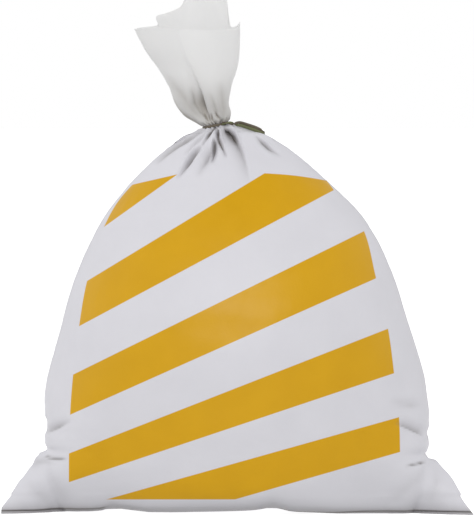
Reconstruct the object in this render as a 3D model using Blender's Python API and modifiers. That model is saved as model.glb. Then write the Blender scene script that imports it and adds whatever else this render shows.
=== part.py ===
"""A small cement bag standing on its base: a film bag tied at the neck, the cement in it, and the tie.

The front, which carries the print, faces -Y. The floor is z = 0 and the origin is the middle of the
bag's outline on the floor. Heights and widths below are in millimetres and are turned into metres once.
"""

from math import asin, cos, hypot, pi, radians, sin

import bmesh
import bpy
from mathutils import Vector

MM = 0.001

# The bag as bought: a flat film tube, welded across the bottom
FLAT_WIDTH = 220.0
FILM_THICKNESS = 0.15
CLEARANCE = 0.3

# The filled bag
HALF_DEPTH = 52.0
NECK_HEIGHT = 179.6

# How finely the film is divided: sides to a ring, and pleats gathered into the neck
SIDES = 48
PLEATS = 9
PLEAT_DEPTH = 0.13
PLEATS_START = 138.0

# The filled body seen from the front without its ears, as (height, left side, right side)
BODY_OUTLINE = (
    (0.0, -80.5, 80.5),
    (8.0, -85.2, 84.6),
    (18.0, -88.0, 87.0),
    (28.0, -89.2, 88.0),
    (38.0, -89.8, 88.5),
    (48.0, -89.9, 88.9),
    (60.0, -88.4, 87.3),
    (79.0, -83.6, 81.8),
    (101.0, -77.7, 74.5),
    (118.0, -71.2, 68.4),
    (135.0, -62.3, 58.9),
    (151.0, -49.8, 43.6),
    (163.0, -38.6, 30.2),
    (171.0, -30.4, 20.4),
    (175.4, -23.7, 13.4),
)

# The ends of the ears, up to where the sides of the body take over
EAR_OUTLINE = (
    (0.0, -110.0, 110.0),
    (4.4, -108.0, 105.2),
    (8.5, -104.6, 102.4),
    (13.0, -101.4, 100.2),
    (18.0, -97.4, 97.6),
    (22.5, -94.9, 94.0),
    (25.6, -93.0, 90.6),
    (27.4, -91.6, 87.0),
    (28.8, -88.6, 87.4),
    (31.0, -89.0, 88.2),
    (35.0, -89.7, 88.2),
)

# The filled bag's depth, as (height, share of its deepest)
BODY_DEPTH = (
    (0.0, 0.44),
    (0.6, 0.58),
    (1.6, 0.69),
    (4.5, 0.79),
    (8.0, 0.845),
    (16.0, 0.90),
    (28.0, 0.945),
    (48.0, 0.985),
    (70.0, 1.0),
    (90.0, 0.97),
    (112.0, 0.858),
    (135.0, 0.654),
    (155.0, 0.412),
    (168.0, 0.238),
    (175.4, 0.15),
)

# The line that the sections are centred on, as (height, x)
BODY_AXIS = ((0.0, 0.0), (60.0, -0.5), (110.0, -1.5), (140.0, -2.2), (160.0, -3.6), (175.4, -5.2))

# The ears, which are the welded corners: half their depth where they leave the body, how they taper
# and how far forward they lie
EAR_TOP = 35.0
EAR_ROOT_HALF_DEPTH = ((0.0, 1.2), (5.0, 4.4), (12.0, 9.5), (20.0, 12.0), (26.0, 10.0), (29.0, 5.0))
EAR_TIP_HALF_DEPTH = 0.6
EAR_ROOT = 56.0
EAR_TURN = pi / 4
LEFT_EAR_FORWARD = 24.0
RIGHT_EAR_FORWARD = 28.0
FORWARD_FROM = 8.0
FORWARD_UP_TO = 70.0

# The weld: how far out the film is closed to it on the floor, and how it opens inwards and upwards
WELD_CLOSED_FROM = 84.0
WELD_ROUNDING = 20.0
WELD_OPENS_INWARDS = 1.0
WELD_OPENS_UPWARDS = 0.9

# How square the body's sections are, from the base, where it has settled, up to the belly
BASE_SQUARENESS = 2.6
BELLY_SQUARENESS = 2.2
SQUARE_UP_TO = 60.0

# Heights of the film's rings up to the gathered neck
BODY_RINGS = (
    0.0, 0.6, 1.6, 4.5, 8.5, 13.0, 18.0, 22.5, 25.6, 27.4, 28.8, 31.0, 36.0, 45.0, 57.0,
    70.0, 84.0, 98.0, 112.0, 125.0, 137.0, 148.0, 157.0, 165.0, 171.0, 175.4,
)

# The neck and the loose film above it, as (left x, left z, right x, right z, half depth)
NECK_SECTIONS = (
    (-15.9, 177.3, -4.3, 179.1, 4.9),
    (-15.0, 178.8, -5.2, 180.6, 4.5),
    (-15.9, 180.3, -4.6, 182.1, 4.9),
)
CUFF_SECTIONS = (
    (-25.4, 184.6, -3.3, 185.2, 6.8),
    (-29.4, 190.6, -3.9, 190.2, 9.6),
    (-32.0, 197.4, -2.6, 197.2, 12.0),
    (-36.6, 205.4, 0.0, 205.6, 13.2),
    (-42.6, 213.8, 0.9, 214.0, 13.5),
    (-47.3, 223.6, 1.2, 224.6, 13.5),
)

# The mouth's cut edge is higher at the back, in two flaps, as (left x, right x, left z, right z)
BACK_FLAPS = ((-37.2, -25.6, 229.8, 233.8), (-25.0, -4.4, 238.4, 238.4))

# The cement: its rings, how far it reaches into the ears, and how it ends below the neck
CEMENT_RINGS = (0.0, 4.5, 13.0, 22.5, 31.0, 45.0, 57.0, 70.0, 84.0, 98.0, 112.0, 125.0, 137.0, 148.0, 157.0)
CEMENT_REACH = ((0.0, 66.0), (4.5, 72.0), (13.0, 82.0), (28.0, 85.0), (60.0, 110.0))
CEMENT_END_ROUNDING = 10
CEMENT_INSET = 1.5
CEMENT_FLOOR = FILM_THICKNESS + CLEARANCE
CEMENT_NARROWS_FROM = 90.0
CEMENT_TOP_INSET = 5.0

# The tie: a coated wire round the neck, with its twisted ends lying on the right shoulder
TIE_RADIUS = 0.75
TIE_CLEARANCE = 0.4
TIE_RING_STEPS = 40
TIE_TAIL_PATH = (
    (-6.0, -5.0, 180.4),
    (-2.6, -5.6, 181.3),
    (1.4, -4.8, 181.4),
    (5.6, -4.0, 180.3),
    (9.6, -3.4, 178.5),
    (13.2, -3.0, 176.3),
)
TIE_TAIL_RADII = (0.7, 0.95, 1.25, 1.2, 0.95, 0.45)


def clear_scene():
    for old in list(bpy.data.objects):
        bpy.data.objects.remove(old, do_unlink=True)


def make_collection(name):
    collection = bpy.data.collections.new(name)
    bpy.context.scene.collection.children.link(collection)
    return collection


def make_material(name, colour, roughness, metallic=0.0):
    material = bpy.data.materials.new(name)
    material.use_nodes = True
    shader = material.node_tree.nodes["Principled BSDF"]
    shader.inputs["Base Color"].default_value = (*colour, 1.0)
    shader.inputs["Roughness"].default_value = roughness
    shader.inputs["Metallic"].default_value = metallic
    return material


def smooth_curve(points, at):
    """The value at one height of the smooth curve through (height, value) points, with no overshoot."""
    heights = [point[0] for point in points]
    values = [point[1] for point in points]
    if at <= heights[0]:
        return values[0]
    if at >= heights[-1]:
        return values[-1]
    slopes = [
        (values[k + 1] - values[k]) / (heights[k + 1] - heights[k])
        for k in range(len(points) - 1)
    ]
    tangents = [slopes[0]]
    for before, after in zip(slopes, slopes[1:]):
        same_way = before * after > 0
        tangents.append(2 * before * after / (before + after) if same_way else 0.0)
    tangents.append(slopes[-1])
    k = max(i for i in range(len(slopes)) if heights[i] <= at)
    step = heights[k + 1] - heights[k]
    s = (at - heights[k]) / step
    return (
        (2 * s**3 - 3 * s**2 + 1) * values[k]
        + (s**3 - 2 * s**2 + s) * step * tangents[k]
        + (3 * s**2 - 2 * s**3) * values[k + 1]
        + (s**3 - s**2) * step * tangents[k + 1]
    )


def smooth_step(low, high, value):
    s = max(0.0, min(1.0, (value - low) / (high - low)))
    return s * s * (3 - 2 * s)


def sides_at(outline, height):
    """The left and right sides of an outline at one height."""
    left = smooth_curve([(z, low) for z, low, _ in outline], height)
    right = smooth_curve([(z, high) for z, _, high in outline], height)
    return left, right


def half_thickness(share, height, depth):
    """Half the body's depth at a share of the way from its middle to its side."""
    settled = smooth_step(0.0, SQUARE_UP_TO, height)
    squareness = BASE_SQUARENESS + (BELLY_SQUARENESS - BASE_SQUARENESS) * settled
    return depth * (1 - min(1.0, share) ** squareness) ** 0.5


def ear_thickness(reach, body, tip, height):
    """Half the depth of an ear at a distance from the axis, down to next to nothing at its tip."""
    if tip - body < 0.2:
        return 0.0
    root = smooth_curve(EAR_ROOT_HALF_DEPTH, height)
    along = max(0.0, min(1.2, (tip - reach) / (tip - body)))
    return EAR_TIP_HALF_DEPTH + (root - EAR_TIP_HALF_DEPTH) * along


def weld_thickness(reach, height):
    """Half the depth that the weld along the bottom leaves the film at a distance from the axis."""
    inwards = WELD_CLOSED_FROM - reach
    inwards = (inwards + hypot(inwards, WELD_ROUNDING)) / 2
    return EAR_TIP_HALF_DEPTH + WELD_OPENS_UPWARDS * height + WELD_OPENS_INWARDS * inwards


def pleat_at(height, turn):
    """How far a pleat lifts the film at one height and turn, as a share of its distance from the axis."""
    return PLEAT_DEPTH * smooth_step(PLEATS_START, NECK_HEIGHT, height) * cos(PLEATS * turn)


def forward_at(x, height):
    """How far the ears lie towards the front."""
    most = LEFT_EAR_FORWARD if x < 0 else RIGHT_EAR_FORWARD
    in_ear = smooth_step(EAR_ROOT, FLAT_WIDTH / 2, abs(x))
    return most * in_ear * (1 - smooth_step(FORWARD_FROM, FORWARD_UP_TO, height))


def side_of(turn):
    """-1 on the front of the bag, 1 on its back and 0 on the two side lines."""
    return 0.0 if abs(sin(turn)) < 1e-6 else (1.0 if sin(turn) > 0 else -1.0)


def to_side_line(turn):
    """The angle from one turn to the nearer side line."""
    return abs(asin(sin(turn)))


def reach_at(turn, body, tip):
    """How far the film is from the axis, sideways: round the body, and out to the tip of the ear."""
    in_ear = max(0.0, 1 - to_side_line(turn) / EAR_TURN)
    return body * abs(cos(turn)) + (tip - body) * in_ear


def body_ring(height, inset):
    """One closed ring round the filled bag, from the right side by way of the back.

    With no inset it is the film. With one it is the cement, which stops where the ears are too flat.
    """
    body_sides = sides_at(BODY_OUTLINE, height)
    tips = sides_at(EAR_OUTLINE, height) if height < EAR_TOP else body_sides
    depth = HALF_DEPTH * smooth_curve(BODY_DEPTH, height)
    axis = smooth_curve(BODY_AXIS, height)
    points = []
    for k in range(SIDES):
        turn = 2 * pi * k / SIDES
        outward = 1.0 if cos(turn) > 0 else -1.0
        body = outward * (body_sides[cos(turn) > 0] - axis)
        tip = outward * (tips[cos(turn) > 0] - axis)
        reach = reach_at(turn, body, tip)
        if inset:
            reach = min(tip - inset, smooth_curve(CEMENT_REACH, height)) * abs(cos(turn))
        filled = half_thickness(reach / body, height, depth) ** 4
        filled = max(filled + ear_thickness(reach, body, tip, height) ** 4, 1e-8)
        thick = (filled**-1 + weld_thickness(reach, height) ** -4) ** -0.25
        if inset:
            thick = (thick - inset) * max(0.0, 1 - abs(cos(turn)) ** CEMENT_END_ROUNDING) ** 0.5
        else:
            apart = abs(sin(turn)) * (0.6 + 1.4 * smooth_step(1.0, 8.0, height))
            thick = max(thick, EAR_TIP_HALF_DEPTH + apart)
        pleat = pleat_at(height, turn)
        x = axis + outward * reach * (1 + pleat * abs(sin(turn)))
        y = side_of(turn) * thick * (1 + pleat) - forward_at(axis + outward * reach, height)
        points.append(Vector((x, y, height)))
    return points


def neck_ring(section):
    """A tilted, pleated ring of the gathered film. The section gives its two ends and its half depth."""
    left_x, left_z, right_x, right_z, depth = section
    points = []
    for k in range(SIDES):
        turn = 2 * pi * k / SIDES
        reach = 1 + PLEAT_DEPTH * cos(PLEATS * turn)
        share = cos(turn) * (1 + (reach - 1) * abs(sin(turn)))
        x = (left_x + right_x) / 2 + (right_x - left_x) / 2 * share
        z = (left_z + right_z) / 2 + (right_z - left_z) / 2 * share
        points.append(Vector((x, depth * sin(turn) * reach, z)))
    return points


def mouth_height(point):
    """How high the cut edge of the film is over one point of the cuff's top ring."""
    if point.y > 0:
        for left_x, right_x, left_z, right_z in BACK_FLAPS:
            if left_x <= point.x <= right_x:
                share = (point.x - left_x) / (right_x - left_x)
                return left_z + (right_z - left_z) * share
    return point.z


def cuff_rings():
    """The rings above the neck, each column stretched up to its own stretch of the cut edge."""
    rings = [neck_ring(section) for section in CUFF_SECTIONS]
    top, start = rings[-1], rings[0]
    stretch = [
        (mouth_height(edge) - low.z) / (edge.z - low.z) for edge, low in zip(top, start)
    ]
    for ring in rings[1:]:
        for point, low, more in zip(ring, start, stretch):
            point.z = low.z + (point.z - low.z) * more
    return rings


def loft(name, rings, material, collection, cap_top):
    """A mesh object through closed rings that have the same number of points, with a flat base."""
    mesh = bpy.data.meshes.new(name)
    body = bmesh.new()
    rows = [[body.verts.new(point * MM) for point in ring] for ring in rings]
    sides = len(rows[0])
    for low, high in zip(rows, rows[1:]):
        for k in range(sides):
            after = (k + 1) % sides
            body.faces.new((low[k], low[after], high[after], high[k]))
    close_across(body, rows[0], facing_down=True)
    if cap_top:
        close_across(body, rows[-1], facing_down=False)
    body.to_mesh(mesh)
    body.free()
    mesh.materials.append(material)
    made = bpy.data.objects.new(name, mesh)
    collection.objects.link(made)
    mesh.shade_smooth()
    mesh.set_sharp_from_angle(angle=radians(40))
    return made


def close_across(body, ring, facing_down):
    """Closes a ring with strips that run from its back to its front."""
    sides = len(ring)
    for k in range(sides // 2):
        corners = [ring[k], ring[k + 1], ring[(sides - k - 1) % sides], ring[(sides - k) % sides]]
        distinct = list(dict.fromkeys(corners))
        body.faces.new(distinct if not facing_down else distinct[::-1])


def make_film_bag(material, collection):
    """The film: body, ears, gathered neck and open cuff in one shell."""
    rings = [body_ring(height, inset=0.0) for height in BODY_RINGS]
    rings += [neck_ring(section) for section in NECK_SECTIONS]
    rings += cuff_rings()
    bag = loft("film_bag", rings, material, collection, cap_top=False)
    wall = bag.modifiers.new("film", "SOLIDIFY")
    wall.thickness = FILM_THICKNESS * MM
    wall.offset = -1.0
    return bag


def make_cement(material, collection):
    """The cement powder, which fills the body just inside the film."""
    rings = []
    for height in CEMENT_RINGS:
        below_neck = smooth_step(CEMENT_NARROWS_FROM, CEMENT_RINGS[-1], height)
        ring = body_ring(height, CEMENT_INSET + CEMENT_TOP_INSET * below_neck)
        for point in ring:
            point.z = max(height, CEMENT_FLOOR)
        rings.append(ring)
    return loft("cement_fill", rings, material, collection, cap_top=True)


def tie_ring_path():
    """The tie's centre line round the narrowest section of the neck, in that section's tilted plane."""
    left_x, left_z, right_x, right_z, depth = NECK_SECTIONS[1]
    middle = Vector(((left_x + right_x) / 2, 0.0, (left_z + right_z) / 2))
    across = Vector(((right_x - left_x) / 2, 0.0, (right_z - left_z) / 2))
    stand_off = TIE_RADIUS + TIE_CLEARANCE
    wide = across * (1 + PLEAT_DEPTH) + across.normalized() * stand_off
    deep = depth * (1 + PLEAT_DEPTH) + stand_off
    turns = (2 * pi * k / TIE_RING_STEPS for k in range(TIE_RING_STEPS))
    return [middle + wide * cos(turn) + Vector((0.0, deep * sin(turn), 0.0)) for turn in turns]


def make_wire(name, path, radii, closed, collection):
    """A tube along a path, as a mesh, with a radius at each point."""
    curve = bpy.data.curves.new(name, "CURVE")
    curve.dimensions = "3D"
    curve.bevel_depth = MM
    curve.bevel_resolution = 2
    curve.use_fill_caps = not closed
    spline = curve.splines.new("POLY")
    spline.points.add(len(path) - 1)
    for point, place, radius in zip(spline.points, path, radii):
        point.co = (*(place * MM), 1.0)
        point.radius = radius
    spline.use_cyclic_u = closed
    drawn = bpy.data.objects.new(name + "_path", curve)
    collection.objects.link(drawn)
    bpy.context.view_layer.update()
    graph = bpy.context.evaluated_depsgraph_get()
    mesh = bpy.data.meshes.new_from_object(drawn.evaluated_get(graph))
    welded = bmesh.new()
    welded.from_mesh(mesh)
    bmesh.ops.remove_doubles(welded, verts=welded.verts, dist=1e-7)
    bmesh.ops.recalc_face_normals(welded, faces=welded.faces)
    welded.to_mesh(mesh)
    welded.free()
    bpy.data.objects.remove(drawn, do_unlink=True)
    made = bpy.data.objects.new(name, mesh)
    collection.objects.link(made)
    return made


def make_tie(material, collection, cutters):
    """The tie: its ring round the neck and its twisted ends, joined into one piece."""
    ring = make_wire("neck_tie", tie_ring_path(), [TIE_RADIUS] * TIE_RING_STEPS, True, collection)
    tail_path = [Vector(point) for point in TIE_TAIL_PATH]
    tail = make_wire("tie_tail", tail_path, TIE_TAIL_RADII, False, cutters)
    tail.hide_render = True
    tail.display_type = "WIRE"
    ring.data.materials.clear()
    ring.data.materials.append(material)
    join = ring.modifiers.new("twisted_ends", "BOOLEAN")
    join.operation = "UNION"
    join.object = tail
    return ring


def main():
    clear_scene()
    collection = make_collection("cement_bag")
    cutters = make_collection("cutters")
    film = make_material("white_film", (0.82, 0.81, 0.83), 0.5)
    powder = make_material("cement_powder", (0.78, 0.77, 0.74), 0.95)
    coated_wire = make_material("tie_coating", (0.16, 0.15, 0.09), 0.55)
    make_film_bag(film, collection)
    make_cement(powder, collection)
    make_tie(coated_wire, collection, cutters)


main()
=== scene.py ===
from math import cos, hypot, pi, radians, sin

import bpy
import numpy as np
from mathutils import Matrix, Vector, noise


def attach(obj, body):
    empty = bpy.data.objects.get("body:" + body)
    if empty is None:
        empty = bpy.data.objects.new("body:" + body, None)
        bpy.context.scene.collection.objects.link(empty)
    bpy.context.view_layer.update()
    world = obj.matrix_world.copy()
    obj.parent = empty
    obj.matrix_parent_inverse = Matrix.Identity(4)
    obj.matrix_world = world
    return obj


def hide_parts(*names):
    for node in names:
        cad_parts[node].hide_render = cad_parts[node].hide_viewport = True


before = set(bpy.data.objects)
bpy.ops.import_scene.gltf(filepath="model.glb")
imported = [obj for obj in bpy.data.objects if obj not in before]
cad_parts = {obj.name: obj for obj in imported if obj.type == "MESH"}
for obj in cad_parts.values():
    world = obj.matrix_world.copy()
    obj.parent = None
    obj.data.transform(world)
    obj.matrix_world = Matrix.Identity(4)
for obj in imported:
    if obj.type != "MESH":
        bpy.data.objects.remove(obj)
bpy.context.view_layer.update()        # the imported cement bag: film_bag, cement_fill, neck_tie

mm = 0.001
scene = bpy.context.scene
for startObject in bpy.context.selected_objects:
    startObject.select_set(False)

# The camera stands at the photo's angle
view = {
    "frameWidth": 220.6,            # mm across the frame, where the bag stands
    "distance": 3000.0,
    "elevation": radians(1.2),
    "lookAt": (-0.3, 0.0, 117.5),
    "sensorWidth": 36.0,
    "sight": 1000.0,                # metres
}


def addCamera():
    target = Vector(view["lookAt"]) * mm
    away = Vector((0.0, -cos(view["elevation"]), sin(view["elevation"])))
    data = bpy.data.cameras.new("camera")
    data.sensor_fit = "HORIZONTAL"
    data.sensor_width = view["sensorWidth"]
    data.lens = data.sensor_width * view["distance"] / view["frameWidth"]
    data.clip_end = view["sight"]
    camera = bpy.data.objects.new("camera", data)
    camera.location = target + away * view["distance"] * mm
    camera.rotation_euler = (pi / 2 - view["elevation"], 0.0, 0.0)
    scene.collection.objects.link(camera)
    scene.camera = camera


def seenAt(points):
    # where the camera sees points, in mm across and up on the plane that it looks at
    x, y, z = np.moveaxis(np.asarray(points), -1, 0)
    targetX, targetY, targetZ = view["lookAt"]
    up = (z - targetZ) * cos(view["elevation"]) + (y - targetY) * sin(view["elevation"])
    nearer = (z - targetZ) * sin(view["elevation"]) - (y - targetY) * cos(view["elevation"])
    scale = view["distance"] / (view["distance"] - nearer)
    return np.stack([targetX + (x - targetX) * scale, targetZ + up * scale], axis=-1)


addCamera()
print("camera set")


# The film, all in millimetres. A turn of 0 is the bag's right side, and 270 degrees is the front.
film = {
    "columns": 360,
    # from a height on, the step up to the next row
    "bodyRows": ((0.0, 0.3), (3.6, 0.8), (9.0, 1.6), (22.0, 0.9), (44.0, 1.9), (140.0, 1.2), (155.0, 0.8)),
    "bodyUpTo": 169.5,
    "wall": 0.16,
    "rim": 0.06,                    # how close the row below the mouth's edge is, as a share of a step
    "innerSkinFrom": 0.6,           # how far over the tie the loose film's inner face begins
    "innerPaintedShade": 0.6,               # share of the painted shade outside that the inner face gets
    "printScale": 100.0,            # mm to one step of the print's UV map
    # how uneven the powder leaves the belly: depths and sizes of the lumps and of the crinkles
    "lumps": 0.45,
    "lumpSizes": (26.0, 11.0),
    "smallLumps": 0.5,              # share of the large ones' depth
    "crinkle": 0.10,
    "crinkleSize": 3.4,
    "evenOnFloor": 14.0,            # the lumps come in up to this height
}
body = {
    "halfDepth": 52.0,
    # height, how far out the film reaches
    "left": (
        (0.0, -80.5), (8.0, -85.2), (18.0, -88.0), (26.4, -87.9), (29.5, -88.3), (32.2, -89.5),
        (34.9, -89.7), (38.7, -88.9), (42.6, -89.3), (46.3, -90.1), (52.0, -90.2), (60.0, -89.0),
        (79.0, -84.3), (101.0, -78.4), (118.0, -71.9), (135.0, -63.2), (151.0, -51.7), (163.0, -40.0),
        (171.0, -30.9), (175.4, -23.7),
    ),
    "right": (
        (0.0, 80.5), (8.0, 84.6), (18.0, 86.2), (26.0, 86.6), (28.6, 87.5), (31.2, 88.6), (34.5, 88.8),
        (38.9, 88.5), (42.6, 88.7), (46.0, 89.0), (52.0, 88.4), (60.0, 87.3), (79.0, 82.4), (101.0, 75.5),
        (118.0, 69.2), (135.0, 60.0), (151.0, 45.0), (163.0, 31.7), (171.0, 21.1), (175.4, 13.4),
    ),
    "evened": (-9.0, -4.5, 0.0, 4.5, 9.0),      # heights that are averaged to even out the small dents
    "dentsFrom": 0.8,               # share of the width from which the dents show
    # height, share of the half depth
    "depth": (
        (0.0, 0.44), (0.6, 0.58), (1.6, 0.69), (3.4, 0.77), (8.0, 0.845), (16.0, 0.90), (28.0, 0.945),
        (48.0, 0.985), (70.0, 1.0), (90.0, 0.97), (112.0, 0.858), (135.0, 0.654), (155.0, 0.412),
        (168.0, 0.238), (175.4, 0.15),
    ),
    "middle": ((0.0, 0.0), (60.0, -0.5), (110.0, -1.5), (140.0, -2.2), (160.0, -3.6), (175.4, -5.2)),
    "squareness": ((0.0, 2.6), (60.0, 2.2), (175.4, 2.2)),
    "leastHalfDepth": (2.0, 1.0, 8.0),          # value, and the heights over which it comes in
    # across, how far the film's front edge is off the floor
    "frontEdge": (
        (-110.0, 0.3), (-90.0, 0.4), (-82.7, 0.8), (-71.0, 0.9), (-64.1, 1.2), (-61.3, 1.8), (-58.5, 2.4),
        (-55.7, 2.3), (-52.4, 2.0), (-45.0, 1.25), (-40.3, 0.8), (-30.6, 0.8), (-21.2, 1.0), (-7.3, 1.25),
        (5.8, 1.7), (10.4, 2.2), (16.0, 3.0), (20.2, 2.3), (24.8, 1.25), (29.5, 0.9), (38.8, 0.5),
        (47.6, 0.1), (60.0, 0.0), (110.0, 0.0),
    ),
    "frontEdgeFades": (1.0, 15.0),
    # where it comes in, on the front by the sine of the turn, and all round the ears by mm from the middle
    "frontEdgeSide": (-0.4, 0.2),
    "frontEdgeEars": (70.0, 100.0),
}
ears = {
    # height, tip
    "left": (
        (0.0, -109.3), (2.6, -109.1), (4.4, -108.0), (7.2, -105.9), (9.9, -103.8), (12.4, -102.1),
        (15.1, -100.4), (17.7, -98.0), (20.3, -96.5), (23.0, -95.0), (26.0, -93.6), (27.6, -92.3),
        (28.3, -91.1), (28.8, -88.5),
    ),
    "right": (
        (0.0, 109.0), (2.2, 107.4), (5.2, 105.1), (7.9, 103.3), (10.5, 102.0), (13.2, 100.7), (15.8, 99.5),
        (18.4, 97.7), (20.5, 96.1), (23.4, 93.8), (25.9, 91.8), (27.0, 89.5), (27.6, 87.2),
    ),
    # height, half depth where an ear leaves the belly
    "rootHalfDepth": (
        (0.0, 1.2), (3.0, 5.0), (6.0, 8.5), (12.0, 12.0), (20.0, 13.0), (26.0, 10.0), (29.0, 5.0),
    ),
    "fullest": 1.2,                 # share of that depth which an ear may have further in
    "tipHalfDepth": 0.6,
    "least": 0.2,                   # mm past the belly that count as an ear
    # near the floor the film closes to the weld: where it is closed, how softly, slope upwards
    "weld": (84.0, 20.0, 0.9),
    "turn": pi / 4,                 # how far round from the side the film runs out into an ear
    "forward": (24.0, 28.0),        # how far the left and the right ear lie forward at their tips
    "forwardFrom": (56.0, 110.0),   # mm from the middle over which they come forward
    "forwardFades": (8.0, 70.0),    # heights over which that ends
}
hem = {
    "from": (58.0, 16.0),           # how far out the weld comes to sight on the left and on the right
    "comesIn": 5.0,
    "flangeFrom": (54.0, 68.0),     # how far out the groove and the flange come in
    "upTo": 9.0,                    # height at which the last of it ends
    "flange": 0.9,
    "flangeHeight": (0.1, 0.5),     # flat up to, gone from
    "groove": 1.6,
    "grooveWidth": 0.5,
    "grooveShare": 0.8,             # share of the film's half depth that the groove may take
    "height": 0.95,                 # of the groove's middle
    "rises": 0.4,                   # how far the waves lift the weld
    "ruffle": 1.6,
    "ruffleFrom": 0.5,              # height from which the ruffle fades
    # length of the waves and of the ripples on them, and a place in the noise
    "wave": (9.0, 3.0),
    "ripple": (3.5, 8.0),
    "rippleShare": (0.5, 0.4),      # share of the ripples in the flange and in the ruffle
}
# The gathered neck and the loose film above it:
# left x, left z, right x, right z, half depth, share of the fan's shape, how far it has opened
neck = (
    (-20.2, 176.9, 6.6, 177.5, 7.0, 0.0, 0.0),
    (-18.2, 177.8, 1.4, 179.4, 6.2, 0.0, 0.0),
    (-16.5, 178.4, -3.2, 180.3, 5.3, 0.0, 0.0),
    (-15.0, 178.8, -5.2, 180.6, 4.5, 0.0, 0.0),
    (-16.8, 179.4, -4.6, 181.6, 5.2, 0.10, 0.0),
    (-19.8, 180.8, -3.7, 182.9, 6.0, 0.25, 0.0),
    (-25.3, 184.6, -3.3, 185.8, 7.4, 0.5, 0.0),
    (-29.4, 190.6, -4.2, 190.2, 10.0, 0.9, 0.16),
    (-32.2, 197.4, -2.9, 197.2, 12.8, 1.0, 0.68),
    (-36.9, 205.4, 0.0, 205.6, 14.2, 1.0, 0.95),
    (-43.1, 213.8, 0.9, 214.0, 14.6, 1.0, 1.0),
    (-48.1, 223.6, 1.2, 224.6, 14.6, 1.0, 1.0),
)
neckSteps = (9, 3, 3, 3, 3, 3, 4, 6, 7, 6, 6, 7, 7)       # rows to each ring from the one below it
# The folds of the loose film: turn, x and y near the tie, x and y and height at the mouth.
# x and y are shares of the half width and half depth.
fan = (
    (0, 1.0, 0.0, 1.0, -0.12, 227.6),
    (10, 0.90, 0.20, 0.93, 0.22, 226.0),
    (20, 0.52, 0.18, 0.82, 0.44, 225.9),
    (27, 0.56, 0.30, 0.785, 0.54, 230.0),
    (34, 0.66, 0.50, 0.76, 0.61, 235.4),
    (43, 0.74, 0.72, 0.735, 0.67, 238.2),
    (58, 0.50, 0.98, 0.55, 0.82, 238.4),
    (76, 0.20, 0.84, 0.30, 0.93, 238.4),
    (92, 0.05, 1.00, 0.08, 0.98, 238.4),
    (104, -0.14, 0.92, -0.06, 0.98, 238.2),
    (110, -0.22, 0.80, -0.12, 0.96, 235.4),
    (120, -0.28, 0.60, -0.26, 0.92, 233.4),
    (132, -0.18, 0.34, -0.42, 0.84, 231.9),
    (145, -0.40, 0.26, -0.59, 0.68, 230.5),
    (152, -0.62, 0.42, -0.59, 0.62, 228.4),
    (159, -0.78, 0.52, -0.58, 0.55, 226.3),
    (167, -0.62, 0.28, -0.75, 0.37, 225.5),
    (174, -0.82, 0.18, -0.91, 0.16, 225.0),
    (180, -1.0, 0.05, -1.0, 0.0, 224.3),
    (200, -0.80, -0.42, -0.80, -0.35, 224.8),
    (220, -0.50, -0.62, -0.50, -0.66, 225.2),
    (238, -0.06, -0.30, -0.28, -0.84, 224.8),
    (250, 0.34, 0.04, -0.20, -0.92, 224.4),
    (260, 0.36, -0.28, -0.16, -0.96, 224.3),
    (268, 0.24, -0.62, -0.08, -0.99, 224.2),
    (277, 0.28, -0.88, 0.04, -1.0, 224.2),
    (290, 0.46, -1.04, 0.22, -0.97, 224.0),
    (306, 0.64, -0.96, 0.50, -0.88, 224.0),
    (324, 0.88, -0.66, 0.74, -0.70, 224.3),
    (343, 0.99, -0.30, 0.94, -0.45, 224.9),
)
# Where the tie draws the film in
waist = {
    "middle": (-10.1, 0.0, 179.7),
    "radius": 6.0,
    "tilt": 0.185,                  # rise to the right
    "flatness": 1.15,               # how much wider than deep
}
pleats = {
    "looseFrom": 184.6,             # from here up the mouth's uneven edge shows
    "count": 18,
    # the valleys at the tie: share of the radius that they take, mm over which they fade
    "tight": (0.50, 1.7),
    "tightSharpness": 2.2,
    "tightUneven": ((0.10, 0.6), (0.07, 2.1)),  # size and start of the two waves that make them uneven
    # further out they join to fewer, wider folds: count, from and up to this far from the tie, depth
    "folds": ((19, 0.6, 7.0, 0.40), (12, 3.0, 17.0, 0.7), (7, 9.0, 46.0, 1.0)),
    "foldsComeIn": 2.0,
    "foldsFadeFrom": 0.3,           # share of the way out
    "sharpness": 1.6,
    "uneven": (0.16, 0.09),
    "winding": 14.0,                # the longer, the straighter the folds run outwards
    "strength": (0.65, 0.35),       # mean, and how much it changes round the tie
    "strengthStart": 0.7,
    # by how far each next set of folds is shifted: its two waves, the folds and their strength
    "shifts": (1.7, 2.6, 0.8, 2.3),
    "calmer": 0.35,                 # share of these folds on the front, which has its own
    "calmerFrom": (0.0, 0.5),       # sine of the turn over which the front begins
    "aboveFrom": 1.5,               # this far over the tie's middle the folds end sooner
    "aboveFades": (2.0, 9.0),
}
# Painted shade, darker in the loose film's folds, next to the tie, along the ears' weld and near the floor:
# how much there is, then the heights or mm over which it comes in and goes
paintedShading = {
    "loose": 0.55,                  # in the loose film's folds, which lie well inside it
    "looseHeights": (180.5, 184.0),
    "looseEnds": (189.0, 200.0),
    "inFolds": (0.25, 0.7),         # share of the way inwards
    "tie": 0.55,                    # next to the tie
    "tieFades": 2.2,
    "tieHeights": (178.5, 181.0),
    "hemWidth": 0.6,
    "hemLower": 0.6,                # below the groove's middle, where the ears' weld is seen
    "hemHidden": (30.0, 60.0),      # it is 1 mm lower still further in, where the belly hides it
    "floor": 0.5,
    "floorFades": 3.0,
}
# How a valley is pressed in and how its lips rise beside it, in shares of its width
press = {
    "lip": 0.30,
    "lipAt": 2.4,
    "lipWidth": 1.1,
    "paintedShadeEnds": 1.5,                # the higher, the more sharply the painted shade in it ends
    "oneSide": (-0.25, 0.08),       # sine of the turn from which, and by which, it is on its own side
    "clearOfTie": (0.3, 3.0),
}
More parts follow.
